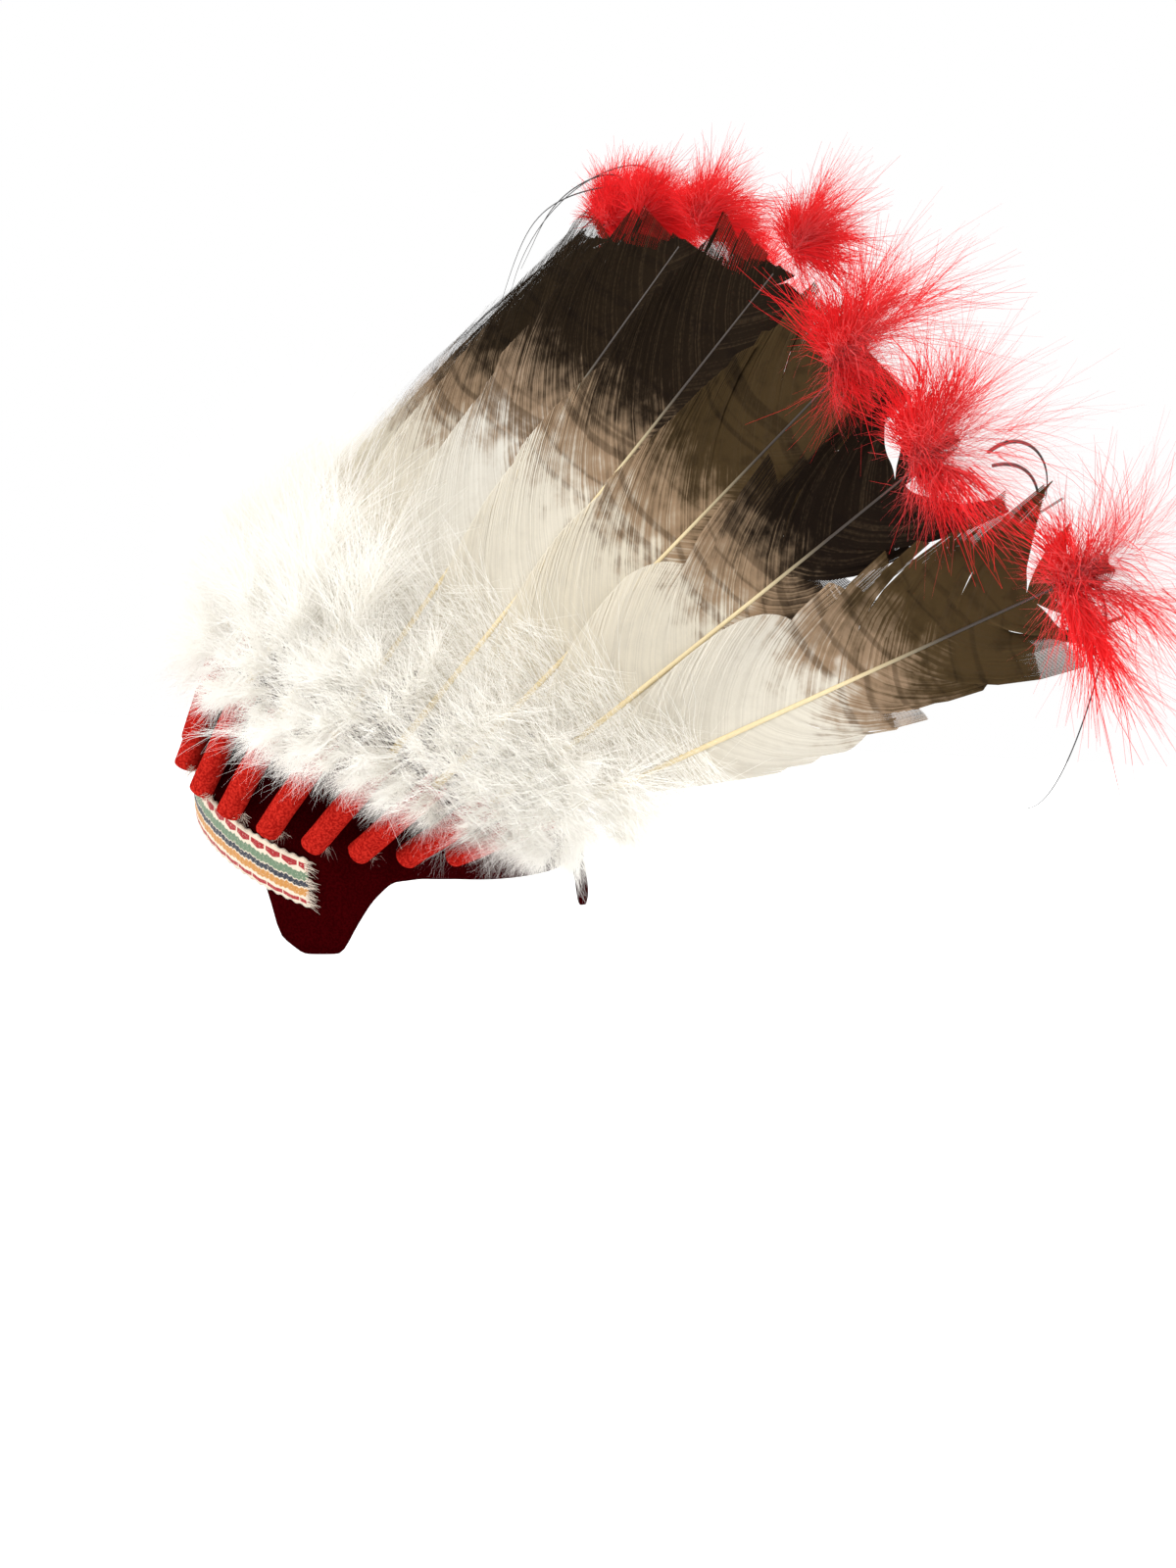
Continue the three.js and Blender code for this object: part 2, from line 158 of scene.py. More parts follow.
def cap_point(degrees, height, offset=0.0):
    angle = np.radians(degrees)
    scale = dome_scale(height, CAP_CROWN + offset)
    x = (CAP_HALF_WIDTH + offset) * scale * np.sin(angle)
    y = -(CAP_HALF_DEPTH + offset) * scale * np.cos(angle)
    return np.stack(np.broadcast_arrays(x, y, height), -1)


def cap_outward(degrees):
    angle = np.radians(degrees)
    return unit(np.array([np.sin(angle) / CAP_HALF_WIDTH, -np.cos(angle) / CAP_HALF_DEPTH, 0.0]))


class Run:
    """The line of one feather: straight in its sheath, then bent back to its tip."""

    def __init__(self, order):
        side = int(np.sign(order))
        share = abs(order) / PER_SIDE
        degrees = side * FEATHER_ANGLES[abs(order)]
        rise = ((1 + math.cos(math.radians(degrees))) / 2) ** 2.5
        height = mix(FOOT_HEIGHT_SIDE, FOOT_HEIGHT_FRONT, rise)
        self.foot = cap_point(degrees, height) + cap_outward(degrees) * (SHEATH_RADIUS + SHEATH_STANDOFF)
        lean_out = 0.4 * share ** 1.2
        lean_back = 0.35 + 0.37 * share
        lean_up = math.sqrt(1 - lean_out ** 2 - lean_back ** 2)
        self.direction = np.array([side * lean_out, lean_back, lean_up])
        self.sheath_top = self.foot + self.direction * SHEATH_LENGTH
        self.control = self.sheath_top + self.direction * BEND_REACH
        self.tip = np.array(FEATHER_TIPS[abs(order)]) * MM * (side or 1, 1, 1)

        steps = np.linspace(0, 1, 101)
        reach = np.linalg.norm(np.diff(self.point(steps), axis=0), axis=1)
        self.steps = steps
        self.reached = np.concatenate([[0], np.cumsum(reach)])
        self.length = self.reached[-1]

    def at_length(self, part):
        """The share of the bend at a part (0 to 1) of its length."""
        part = np.asarray(part, float)
        bent = np.interp(part * self.length, self.reached, self.steps)
        return np.where(part < 0, part * self.length / SHEATH_LENGTH, bent)

    def point(self, share):
        share = np.asarray(share, float)[..., None]
        bent = ((1 - share) ** 2 * self.sheath_top + 2 * share * (1 - share) * self.control
                + share ** 2 * self.tip)
        straight = self.sheath_top + self.direction * share * SHEATH_LENGTH
        return np.where(share < 0, straight, bent)

    def along(self, share):
        share = np.maximum(np.asarray(share, float), 0)[..., None]
        slope = (1 - share) * (self.control - self.sheath_top) + share * (self.tip - self.control)
        return unit(slope)


RUNS = {order: Run(order) for order in ORDERS}


def run_frame(order, share):
    """Along the quill, across towards the next feather, and outward from the fan."""
    share = np.maximum(np.asarray(share, float), 0)
    along = RUNS[order].along(share)
    after = RUNS[min(order + 1, PER_SIDE)].point(share)
    before = RUNS[max(order - 1, -PER_SIDE)].point(share)
    across = after - before
    across = unit(across - along * np.sum(across * along, -1, keepdims=True))
    return along, across, np.cross(across, along)


def fan_point(order, share):
    lower = int(np.clip(math.floor(order), -PER_SIDE, PER_SIDE))
    upper = min(lower + 1, PER_SIDE)
    if upper == lower or order < -PER_SIDE:
        beyond = run_frame(lower, share)[1]
        return RUNS[lower].point(share) + beyond * (order - lower) * 20 * MM
    return mix(RUNS[lower].point(share), RUNS[upper].point(share), order - lower)


def fan_frame(order, share):
    """Along, across and outward on the fan's skin between the feathers."""
    across = unit(fan_point(order + 0.5, share) - fan_point(order - 0.5, share))
    along = unit(fan_point(order, share + 0.02) - fan_point(order, share - 0.02))
    return along, across, unit(np.cross(across, along))


# ---------------------------------------------------------------- meshes

def new_object(name, mesh):
    piece = bpy.data.objects.new(name, mesh)
    bpy.context.scene.collection.objects.link(piece)
    return piece


def grid_mesh(name, rows, uvs=None, closed=True):
    """A skin over rows of points. closed joins each row's last point to its first."""
    count_rows, count = rows.shape[:2]
    ids = np.arange(count_rows * count).reshape(count_rows, count)
    left, right = ids, np.roll(ids, -1, 1)
    if not closed:
        left, right = ids[:, :-1], ids[:, 1:]
    faces = np.stack([left[:-1], right[:-1], right[1:], left[1:]], -1).reshape(-1, 4)
    mesh = bpy.data.meshes.new(name)
    mesh.from_pydata(rows.reshape(-1, 3).tolist(), [], faces.tolist())
    if uvs is not None:
        layer = mesh.uv_layers.new(name="weave")
        corners = np.empty(len(mesh.loops), np.int32)
        mesh.loops.foreach_get("vertex_index", corners)
        layer.data.foreach_set("uv", uvs.reshape(-1, 2)[corners].ravel())
    mesh.shade_smooth()
    return mesh


def put_attribute(mesh, name, kind, values):
    layer = mesh.attributes.new(name, kind, "POINT")
    key = "vector" if kind == "FLOAT_VECTOR" else "value"
    layer.data.foreach_set(key, np.ascontiguousarray(values, np.float32).ravel())


def finish_piece(piece, slot, *nodes):
    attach(piece, "root")
    if nodes:
        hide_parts(*nodes)


# ---------------------------------------------------------------- strands by Geometry Nodes

class Strands:
    """Rows of thin blades: each grows from its root along heading and curves by bend."""

    FIELDS = {"root": 3, "heading": 3, "bend": 3, "across": 3, "sway": 3, "phase": 1, "tint": 1,
              "share": 1, "share_gain": 1, "tone": 1, "hue": 1}

    def __init__(self):
        self.parts = {name: [] for name in self.FIELDS}

    def add(self, **fields):
        count = len(fields["root"])
        for name, width in self.FIELDS.items():
            shape = (count, 3) if width == 3 else (count,)
            value = fields.get(name, 0.0)
            self.parts[name].append(np.broadcast_to(np.asarray(value, float), shape).copy())

    def keep_inside(self, low, high):
        """Draw in the fibres whose ends would pass a box."""
        for root, heading, bend in zip(*(self.parts[key] for key in ("root", "heading", "bend"))):
            reach = heading + bend
            room = np.where(reach > 0, high - root, low - root)
            share = np.min(room / np.where(reach == 0, 1.0, reach), axis=1, where=reach != 0, initial=1.0)
            share = np.clip(share, 0.05, 1)[:, None]
            heading *= share
            bend *= share

    def make(self, name, finish, segments=3, taper=0.8, waves=1.5):
        fields = {key: np.concatenate(values) for key, values in self.parts.items()}
        seeds = bpy.data.meshes.new(name + "_roots")
        seeds.from_pydata(fields["root"].tolist(), [], [])
        for key, width in self.FIELDS.items():
            put_attribute(seeds, key, "FLOAT_VECTOR" if width == 3 else "FLOAT", fields[key])
        carrier = new_object(name + "_roots", seeds)
        modifier = carrier.modifiers.new("strands", "NODES")
        modifier.node_group = STRAND_TREE
        sockets = {item.name: item.identifier for item in STRAND_TREE.interface.items_tree
                   if item.in_out == "INPUT"}
        modifier[sockets["Segments"]] = segments
        modifier[sockets["Taper"]] = taper
        modifier[sockets["Waves"]] = waves
        modifier[sockets["Finish"]] = finish
        depsgraph = bpy.context.evaluated_depsgraph_get()
        mesh = bpy.data.meshes.new_from_object(carrier.evaluated_get(depsgraph))
        mesh.name = name
        bpy.data.objects.remove(carrier)
        bpy.data.meshes.remove(seeds)
        for spare in ("root", "heading", "bend", "across", "sway", "phase", "side"):
            if spare in mesh.attributes:
                mesh.attributes.remove(mesh.attributes[spare])
        mesh.shade_smooth()
        return new_object(name, mesh)


class Tree:
    """Builds a Geometry Nodes group with arithmetic on its sockets."""

    def __init__(self, name):
        self.group = bpy.data.node_groups.new(name, "GeometryNodeTree")

    def socket(self, name, kind, in_out="INPUT", value=None):
        item = self.group.interface.new_socket(name, in_out=in_out, socket_type=kind)
        if value is not None:
            item.default_value = value

    def node(self, kind, settings=None, inputs=None):
        made = self.group.nodes.new(kind)
        for key, value in (settings or {}).items():
            setattr(made, key, value)
        for key, value in (inputs or {}).items():
            if isinstance(value, bpy.types.NodeSocket):
                self.group.links.new(value, made.inputs[key])
            else:
                made.inputs[key].default_value = value
        return made

    def attribute(self, name, kind):
        made = self.node("GeometryNodeInputNamedAttribute", {"data_type": kind}, {"Name": name})
        return made.outputs["Attribute"]

    def maths(self, operation, first, second=0.0):
        return self.node("ShaderNodeMath", {"operation": operation}, {0: first, 1: second}).outputs[0]

    def add(self, first, second):
        return self.node("ShaderNodeVectorMath", {"operation": "ADD"}, {0: first, 1: second}).outputs[0]

    def scale(self, vector, amount):
        made = self.node("ShaderNodeVectorMath", {"operation": "SCALE"}, {0: vector, "Scale": amount})
        return made.outputs[0]


def make_strand_tree():
    """A flat blade on each root, bent and swayed by the root's own attributes."""
    tree = Tree("strands")
    tree.socket("Roots", "NodeSocketGeometry")
    tree.socket("Segments", "NodeSocketInt", value=3)
    tree.socket("Taper", "NodeSocketFloat", value=0.8)
    tree.socket("Waves", "NodeSocketFloat", value=1.5)
    tree.socket("Finish", "NodeSocketMaterial")
    tree.socket("Blades", "NodeSocketGeometry", in_out="OUTPUT")
    given = tree.node("NodeGroupInput").outputs
    points = tree.maths("ADD", given["Segments"], 1.0)
    blade = tree.node("GeometryNodeMeshGrid", inputs={
        "Size X": 1.0, "Size Y": 1.0, "Vertices X": points, "Vertices Y": 2})
    position = tree.node("GeometryNodeInputPosition").outputs[0]
    place = tree.node("ShaderNodeSeparateXYZ", inputs={0: position})
    run = tree.maths("ADD", place.outputs["X"], 0.5)
    side = tree.maths("MULTIPLY", place.outputs["Y"], 2.0)
    marked = tree.node("GeometryNodeStoreNamedAttribute", {"data_type": "FLOAT", "domain": "POINT"}, {
        "Geometry": blade.outputs["Mesh"], "Name": "run", "Value": run})
    marked = tree.node("GeometryNodeStoreNamedAttribute", {"data_type": "FLOAT", "domain": "POINT"}, {
        "Geometry": marked.outputs[0], "Name": "side", "Value": side})
    cloud = tree.node("GeometryNodeMeshToPoints", inputs={"Mesh": given["Roots"]})
    copies = tree.node("GeometryNodeInstanceOnPoints", inputs={
        "Points": cloud.outputs[0], "Instance": marked.outputs[0]})
    whole = tree.node("GeometryNodeRealizeInstances", inputs={0: copies.outputs[0]})
    run = tree.attribute("run", "FLOAT")
    side = tree.attribute("side", "FLOAT")
    squared = tree.maths("MULTIPLY", run, run)
    thin = tree.maths("SUBTRACT", 1.0, tree.maths("MULTIPLY", given["Taper"], run))
    turn = tree.maths("MULTIPLY", tree.maths("MULTIPLY", run, given["Waves"]), 2 * math.pi)
    swing = tree.maths("SINE", tree.maths("ADD", turn, tree.attribute("phase", "FLOAT")))
    spot = tree.attribute("root", "FLOAT_VECTOR")
    spot = tree.add(spot, tree.scale(tree.attribute("heading", "FLOAT_VECTOR"), run))
    spot = tree.add(spot, tree.scale(tree.attribute("bend", "FLOAT_VECTOR"), squared))
    spot = tree.add(spot, tree.scale(tree.attribute("across", "FLOAT_VECTOR"),
                                     tree.maths("MULTIPLY", side, thin)))
    spot = tree.add(spot, tree.scale(tree.attribute("sway", "FLOAT_VECTOR"),
                                     tree.maths("MULTIPLY", swing, run)))
    moved = tree.node("GeometryNodeSetPosition", inputs={"Geometry": whole.outputs[0], "Position": spot})
    dressed = tree.node("GeometryNodeSetMaterial", inputs={
        "Geometry": moved.outputs[0], "Material": given["Finish"]})
    tree.node("NodeGroupOutput", inputs={0: dressed.outputs[0]})
    return tree.group


STRAND_TREE = make_strand_tree()


# ---------------------------------------------------------------- finishes

class Value:
    """A shader socket that takes part in arithmetic."""

    def __init__(self, finish, socket):
        self.finish = finish
        self.socket = socket

    def maths(self, operation, first, second):
        return self.finish.node("ShaderNodeMath", {"operation": operation}, {0: first, 1: second})

    def __add__(self, other):
        return self.maths("ADD", self, other)

    def __sub__(self, other):
        return self.maths("SUBTRACT", self, other)

    def __rsub__(self, other):
        return self.maths("SUBTRACT", other, self)

    def __mul__(self, other):
        return self.maths("MULTIPLY", self, other)

    __radd__ = __add__
    __rmul__ = __mul__

    def over(self, low, high):
        """0 below low, 1 above high, and smooth between."""
        return self.finish.node("ShaderNodeMapRange", {"interpolation_type": "SMOOTHSTEP"}, {
            "Value": self, "From Min": low, "From Max": high})

    def wave(self, count):
        """The zigzag of count teeth in a unit: 0 to 1 and back."""
        return self.maths("PINGPONG", self * (2 * count), 1.0)


class Finish:
    """One material: a Principled shader and the nodes that feed it."""

    def __init__(self, name, colour, roughness, sheen=0.0, specular=0.3):
        self.material = bpy.data.materials.new(name)
        self.material.use_nodes = True
        self.material.diffuse_color = (*colour, 1)
        self.tree = self.material.node_tree
        self.shader = self.tree.nodes["Principled BSDF"]
        self.shader.inputs["Base Color"].default_value = (*colour, 1)
        self.shader.inputs["Roughness"].default_value = roughness
        self.shader.inputs["Sheen Weight"].default_value = sheen
        self.shader.inputs["Sheen Roughness"].default_value = 0.5
        self.shader.inputs["Specular IOR Level"].default_value = specular

    def feed(self, socket, value):
        if isinstance(value, Value):
            self.tree.links.new(value.socket, socket)
        elif isinstance(value, tuple) and len(value) == 3 and socket.type == "RGBA":
            socket.default_value = (*value, 1)
        else:
            socket.default_value = value

    def node(self, kind, settings=None, inputs=None, output=0):
        made = self.tree.nodes.new(kind)
        for key, value in (settings or {}).items():
            setattr(made, key, value)
        for key, value in (inputs or {}).items():
            self.feed(made.inputs[key], value)
        return Value(self, made.outputs[output])

    def attribute(self, name):
        return self.node("ShaderNodeAttribute", {"attribute_name": name}, output="Fac")

    def place(self, scale=(1, 1, 1)):
        spot = self.node("ShaderNodeTexCoord", output="Object")
        return self.node("ShaderNodeMapping", inputs={"Vector": spot, "Scale": scale})

    def join(self, x, y):
        return self.node("ShaderNodeCombineXYZ", inputs={"X": x, "Y": y})

    def noise(self, place, scale, detail=3.0):
        return self.node("ShaderNodeTexNoise", inputs={"Vector": place, "Scale": scale, "Detail": detail})

    def blend(self, share, low, high):
        return self.node("ShaderNodeMix", {"data_type": "RGBA"}, {
            "Factor": share, 6: low, 7: high}, output=2)

    def colour(self, value):
        self.feed(self.shader.inputs["Base Color"], value)

    def relief(self, height, depth, distance):
        bump = self.node("ShaderNodeBump", inputs={
            "Height": height, "Strength": depth, "Distance": distance})
        self.feed(self.shader.inputs["Normal"], bump)

    def let_light_through(self, colour, share):
        """Thin vanes and fibres glow a little with the light behind them."""
        glow = self.node("ShaderNodeBsdfTranslucent", inputs={"Color": colour})
        both = self.tree.nodes.new("ShaderNodeMixShader")
        both.inputs["Fac"].default_value = share
        self.tree.links.new(self.shader.outputs[0], both.inputs[1])
        self.tree.links.new(glow.socket, both.inputs[2])
        self.tree.links.new(both.outputs[0], self.tree.nodes["Material Output"].inputs["Surface"])


def felt_finish(name, colour, light):
    """Wool felt: clouds of shade, with fuzz standing up from it that is painted lighter, a painted sheen."""
    felt = Finish(name, colour, 1.0, sheen=0.0, specular=0.0)
    place = felt.place()
    cloud = felt.noise(place, 90.0)
    fuzz = felt.noise(place, 900.0, 4.0)
    # The fuzz takes the lighter colour: painted sheen, as the shader's own sheen is zero.
    lit = felt.blend(fuzz.over(0.4, 0.62), colour, light)
    felt.colour(felt.blend(cloud * 0.5, lit, tuple(0.72 * c for c in colour)))
    felt.relief(fuzz + cloud, 0.55, 0.4 * MM)
    return felt.material


def vane_finish():
    """Cream vanes with streaks, that pass through a tan border with bars to the dark tips."""
    vane = Finish("feather_vane", CREAM, 0.7, sheen=0.0, specular=0.03)
    run = vane.attribute("run")
    share = vane.attribute("share") + vane.attribute("share_gain") * run
    tone = vane.attribute("tone")
    tint = vane.attribute("tint")
    hue = vane.attribute("hue")
    place = vane.place()
    mottle = vane.noise(place, 150.0, 4.0)
    grain = vane.noise(place, 900.0, 2.0)
    bars = vane.noise(vane.join(share * 46.0, tone * 9.0), 1.0, 2.0)
    reach = share + (mottle - 0.5) * 0.16 + (tint - 0.5) * 0.06 + hue * 0.05
    tan = reach.over(0.57, 0.68)
    dark = reach.over(0.665, 0.79)
    streak = tint * 0.45 + grain * 0.25 + mottle.over(0.45, 0.75) * 0.2
    pale = vane.blend(streak, vane.blend(hue, CREAM, IVORY), VANE_STREAK)
    deep = vane.blend(tone, VANE_BLACK, VANE_OLIVE)
    deep = vane.blend(bars.over(0.55, 0.62) * 0.4 + mottle.over(0.5, 0.7) * 0.3, deep, VANE_BLACK)
    deep = vane.blend((tint * 0.5 + grain * 0.5).over(0.5, 0.9) * 0.4, deep, VANE_GRAIN)
    body = vane.blend(tan * 0.85, pale, VANE_TAN)
    body = vane.blend(bars.over(0.5, 0.58) * tan * 0.5, body, VANE_BAR)
    shade = vane.blend(dark, body, deep)
    vane.colour(shade)
    vane.relief(tint + grain * 0.4, 0.25, 0.25 * MM)
    vane.let_light_through(shade, 0.3)
    return vane.material


def quill_finish():
    """Horn, cream at the foot and nearly black at the tip."""
    quill = Finish("quill", QUILL_CREAM, 0.38, specular=0.5)
    share = quill.attribute("share")
    streak = quill.noise(quill.place((1, 1, 0.15)), 700.0)
    pale = quill.blend(streak * 0.5, QUILL_CREAM, QUILL_STREAK)
    quill.colour(quill.blend(share.over(0.60, 0.80), pale, QUILL_DARK))
    quill.relief(streak, 0.2, 0.2 * MM)
    return quill.material


def fluff_finish(name, colour, shade, glow, share):
    """Loose fibres, from the plain colour to its shade by each fibre's own tint."""
    fluff = Finish(name, colour, 0.75, sheen=0.3, specular=0.15)
    tint = fluff.attribute("tint")
    fluff.colour(fluff.blend(tint, colour, shade))
    fluff.let_light_through(glow, share)
    return fluff.material


# The braid's stripes, as shares of its height from the lower edge: low, high and thread.
STRIPES = [(0.22, 0.38, BRAID_OCHRE), (0.41, 0.53, BRAID_NAVY), (0.55, 0.72, BRAID_GREEN)]
STRIPE_SOFTNESS = 0.01


def braid_finish():
    """Woven stripes with zigzag edges between two rows of red scallops."""
    braid = Finish("woven_braid", BRAID_CREAM, 0.8, sheen=0.2, specular=0.2)
    spot = braid.node("ShaderNodeUVMap", {"uv_map": "weave"})
    parts = braid.tree.nodes.new("ShaderNodeSeparateXYZ")
    braid.tree.links.new(spot.socket, parts.inputs[0])
    run = Value(braid, parts.outputs["X"])
    height = Value(braid, parts.outputs["Y"])
    weft = braid.noise(braid.join(run * 1400.0, height * 24.0), 1.0, 1.0)
    zigzag = run.wave(95.0)
    fine = run.wave(380.0)
    edge = height + (zigzag - 0.5) * 0.035 + (fine - 0.5) * 0.03 + (weft - 0.5) * 0.05
    scallop = run.wave(110.0)
    colour = BRAID_CREAM
    for low, high, thread in STRIPES:
        above = edge.over(low - STRIPE_SOFTNESS, low + STRIPE_SOFTNESS)
        stripe = above * (1 - edge.over(high - STRIPE_SOFTNESS, high + STRIPE_SOFTNESS))
        colour = braid.blend(stripe, colour, thread)
    upper = height + (scallop - 0.5) * 0.07
    red = upper.over(0.785, 0.80) * (1 - height.over(0.905, 0.915)) * scallop.over(0.06, 0.14)
    colour = braid.blend(red, colour, BRAID_RED)
    lower = height + (scallop - 0.5) * 0.03
    red = lower.over(0.06, 0.07) * (1 - lower.over(0.14, 0.155)) * scallop.over(0.02, 0.08)
    colour = braid.blend(red, colour, BRAID_RED)
    speck = weft.over(0.62, 0.70) * 0.55
    colour = braid.blend(speck, colour, BRAID_CREAM)
    braid.colour(colour)
    rib = height.wave(26.0)
    braid.relief(weft * 0.7 + fine * 0.6 + rib * 0.5, 0.8, 0.5 * MM)
    return braid.material


FELT_MAROON = felt_finish("felt_maroon", MAROON, MAROON_FUZZ_SHEEN)
FELT_RED_WOOL = felt_finish("felt_red", FELT_RED, FELT_RED_FUZZ_SHEEN)
VANE = vane_finish()
QUILL = quill_finish()
DOWN = fluff_finish("down_white", DOWN_WHITE, DOWN_SHADE, DOWN_GLOW, 0.5)
RED = fluff_finish("plume_red", PLUME_RED, PLUME_SHADE, PLUME_GLOW, 0.35)
THREAD = fluff_finish("cream_thread", THREAD_CREAM, THREAD_SHADE, THREAD_CREAM, 0.1)
BRAID = braid_finish()
HAIR = Finish("black_hair", HAIR_BLACK, 0.35, specular=0.5).material


# ---------------------------------------------------------------- cap, band and tie

def rim_height(degrees):
    """The rim, with its corners rounded off."""
    spread = np.linspace(-1.6, 1.6, 9)
    turned = np.abs((np.asarray(degrees)[..., None] + spread + 180) % 360 - 180)
    return np.interp(turned, RIM_ANGLES, RIM_HEIGHTS).mean(-1) * MM


CAP_STEP = 1.5
CAP_WALL_TOP = 24 * MM
CAP_WALL_ROWS = 9
CAP_DOME_ROWS = 22
CAP_CROWN_HOLE = 0.2 * MM


def make_cap():
    """The felt shell: level rows from the rim up the wall, then closer ones over the dome."""
    degrees = np.arange(-180, 180, CAP_STEP)
    rim = rim_height(degrees)
    dome = CAP_CROWN - CAP_CROWN_HOLE - CAP_WALL_TOP
    lower = [mix(rim, CAP_WALL_TOP, part) for part in np.linspace(0, 1, CAP_WALL_ROWS)]
    upper = [np.full_like(rim, CAP_WALL_TOP + dome * math.sin(part * math.pi / 2))
             for part in np.linspace(0, 1, CAP_DOME_ROWS)[1:]]
    rows = np.stack([cap_point(degrees, height) for height in lower + upper])
    mesh = grid_mesh("felt_cap_shell", rows)
    piece = new_object("felt_cap_shell", mesh)
    piece.data.materials.append(FELT_MAROON)
    wall = piece.modifiers.new("wall", "SOLIDIFY")
    wall.thickness = FELT_THICKNESS
    wall.offset = -1
    finish_piece(piece, "felt_maroon", "felt_cap")


def band_top(degrees):
    end = math.cos(math.radians(BAND_END_ANGLE))
    share = (np.cos(np.radians(degrees)) - end) / (1 - end)
    return BAND_TOP_END + (BAND_TOP_FRONT - BAND_TOP_END) * np.maximum(0, share) ** 1.1


BAND_STEPS = 361
BAND_ROWS = 17
PICOT_LENGTH = 2.6 * MM
PICOT_HEIGHT = 0.5 * MM
BAND_SWELL = 0.5 * MM


def make_band():
    """The woven strip over the forehead, a little fuller in its middle, with picots on its edges."""
    degrees = np.linspace(-BAND_END_ANGLE, BAND_END_ANGLE, BAND_STEPS)
    top = band_top(degrees)
    rows, uvs = [], []
    middle = cap_point(degrees, top - BAND_HEIGHT / 2)
    length = np.concatenate([[0], np.cumsum(np.linalg.norm(np.diff(middle, axis=0), axis=1))])
    for part in np.linspace(0, 1, BAND_ROWS):
        swell = BAND_SWELL * math.sin(math.pi * part)
        picot = PICOT_HEIGHT * np.sin(length / PICOT_LENGTH * math.pi) * (abs(part - 0.5) > 0.49)
        height = top - BAND_HEIGHT * (1 - part) + picot * np.sign(part - 0.5)
        rows.append(cap_point(degrees, height, BAND_STANDOFF + BAND_THICKNESS * 0.75 + swell))
        uvs.append(np.stack([length, np.full_like(length, part)], -1))
    mesh = grid_mesh("brow_braid", np.stack(rows), np.stack(uvs), closed=False)
    piece = new_object("brow_braid", mesh)
    piece.data.materials.append(BRAID)
    wall = piece.modifiers.new("thickness", "SOLIDIFY")
    wall.thickness = BAND_THICKNESS * 0.7
    wall.offset = -1
    finish_piece(piece, "woven_braid", "brow_band")


TIE_WIDTH = 16 * MM
TIE_LENGTH = 46 * MM
TIE_ANGLE = 168
TIE_LEAN = math.radians(-10)
TIE_HALF_THICKNESS = 1.2 * MM


def make_tie():
    """The felt tie at the nape: a flat strip with a round end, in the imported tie's place."""
    low, high = (np.array(corner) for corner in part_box("nape_tie"))
    out = cap_outward(TIE_ANGLE)
    across = np.array([-out[1], out[0], 0])
    middle = (low + high) / 2
    drop = np.array([0, 0, -math.cos(TIE_LEAN)])
    fall = unit(out * math.sin(-TIE_LEAN) + drop)
    rows = []
    turns = np.linspace(0, 2 * math.pi, 28, endpoint=False)
    width = np.sign(np.cos(turns)) * np.abs(np.cos(turns)) ** 0.35 * TIE_WIDTH * 0.49
    depth = np.sign(np.sin(turns)) * np.abs(np.sin(turns)) ** 0.6 * TIE_HALF_THICKNESS
    thick = np.cross(across, fall)
    for part in np.linspace(-0.5, 0.5, 25):
        end = max(0.0, 1 - (0.5 - part) * TIE_LENGTH / (TIE_WIDTH / 2))
        shrink = max(0.15, math.sqrt(max(0.0, 1 - end ** 2)))
        spot = middle + fall * part * TIE_LENGTH * 0.98
        rows.append(spot + across * width[:, None] * shrink + thick * depth[:, None])
    for end in (rows[0], rows[-1]):
        end[:] = mix(end, end.mean(0), 0.12)
    caps = [np.broadcast_to(end.mean(0), end.shape) for end in (rows[0], rows[-1])]
    rows = [caps[0], *rows, caps[1]]
    piece = new_object("nape_strip", grid_mesh("nape_strip", np.stack(rows)))
    piece.data.materials.append(FELT_MAROON)
    finish_piece(piece, "felt_maroon", "nape_tie")


# ---------------------------------------------------------------- sheaths

SHEATH_DENT = 0.22 * MM
SHEATH_LAP = 0.35 * MM
SHEATH_ROUND = 0.15 * MM
SHEATH_CHAMFER = 0.7 * MM


def make_sheath(order, name):
    """A felt tube rolled round the quill, with a lapped seam, slight dents and soft ends."""
    run = RUNS[order]
    random = np.random.default_rng(100 + order)
    across = run_frame(order, 0.0)[1]
    out = np.cross(across, run.direction)
    turns = np.linspace(0, 2 * math.pi, 40, endpoint=False)
    phase = random.uniform(0, 2 * math.pi)
    rows = []
    steps = np.linspace(0, 1, 23)
    profile = [(SHEATH_BORE_RADIUS, 0.0), (SHEATH_RADIUS - SHEATH_CHAMFER, 0.0),
               (SHEATH_RADIUS - SHEATH_ROUND, 0.25 * MM)]
    profile += [(SHEATH_RADIUS, 1.0 * MM + (SHEATH_LENGTH - 2.0 * MM) * step) for step in steps]
    profile += [(SHEATH_RADIUS - SHEATH_ROUND, SHEATH_LENGTH - 0.25 * MM),
                (SHEATH_RADIUS - SHEATH_CHAMFER, SHEATH_LENGTH), (SHEATH_BORE_RADIUS, SHEATH_LENGTH)]
    seam = phase + math.pi * 0.9
    for radius, height in profile:
        share = height / SHEATH_LENGTH
        dent = SHEATH_DENT * np.sin(3 * turns + phase + 5 * share) * math.sin(7 * share + phase)
        lap = SHEATH_LAP * ((turns - seam) % (2 * math.pi)) / (2 * math.pi)
        skin = radius - lap + dent if radius > SHEATH_BORE_RADIUS else radius + 0 * turns
        ring = (run.foot + run.direction * height + np.cos(turns)[:, None] * across * skin[:, None]
                + np.sin(turns)[:, None] * out * skin[:, None])
        rows.append(ring)
    mesh = grid_mesh(name, np.stack(rows))
    piece = new_object(name, mesh)
    piece.data.materials.append(FELT_RED_WOOL)
    return piece


# ---------------------------------------------------------------- feathers

def vane_swell(share):
    run = (share - VANE_START) / (1 - VANE_START)
    swell = np.sin((math.pi / 2) * np.clip(run / 0.62, 0, 1)) ** 0.85
    end = np.sqrt(np.maximum(0, 1 - (np.maximum(run - 0.8, 0) / 0.205) ** 2.6))
    return swell * end


